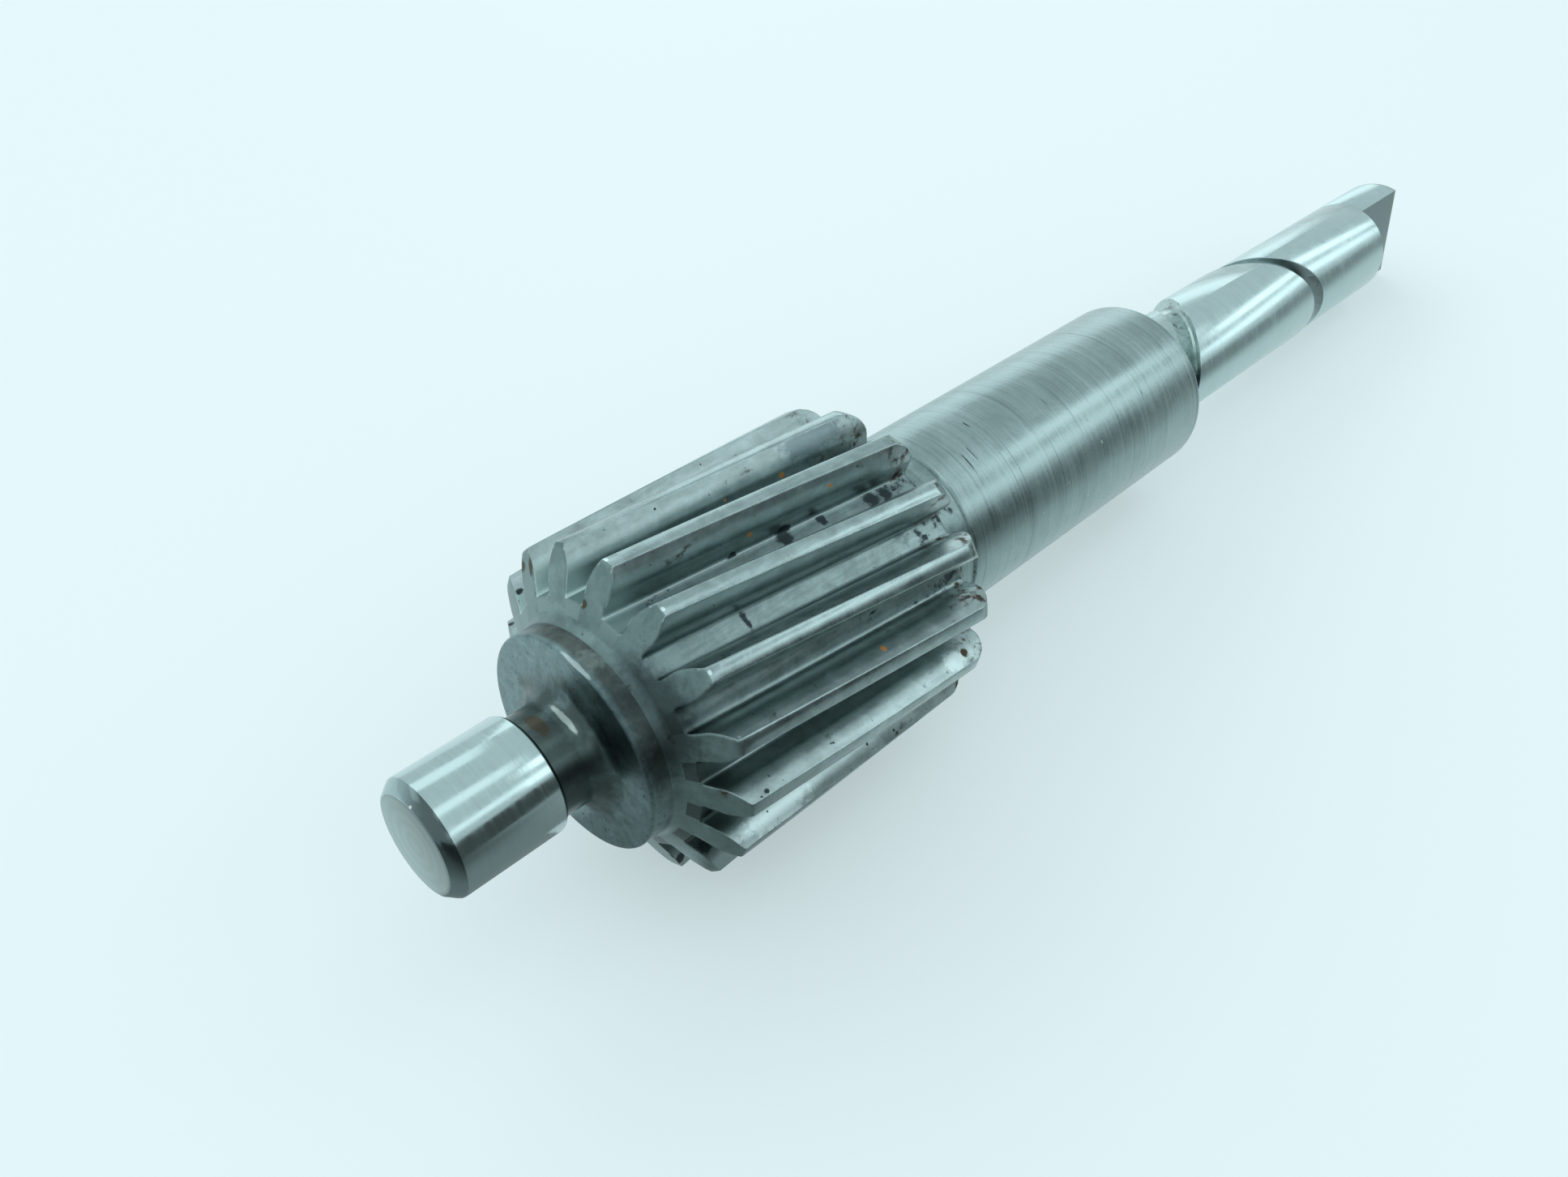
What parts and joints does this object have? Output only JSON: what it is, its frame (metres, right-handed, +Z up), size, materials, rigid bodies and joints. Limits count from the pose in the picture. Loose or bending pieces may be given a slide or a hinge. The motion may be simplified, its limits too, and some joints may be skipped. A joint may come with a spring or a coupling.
{
  "type": "speedometer drive gear",
  "caption": "One-piece steel pinion shaft with helical teeth, front pilot, plain journal and a slender tail ending in a half-moon drive tongue.",
  "frame": {"origin": "centre of the footprint, on the surface that the gear lies on", "axes": "+X from the pilot towards the drive tongue, dipping 4.75 degrees below the shaft's axis line, +Z up, the tongue's flat facing -Y and a little upwards"},
  "size_m": [0.0932, 0.0182, 0.0194],
  "materials": {
    "turned_steel": "turned and hobbed steel, oily and darkened, ground bright on the pilot and the tail"
  },
  "bodies": {
    "root": {"speedometer_pinion": "turned_steel"}
  },
  "joints": []
}
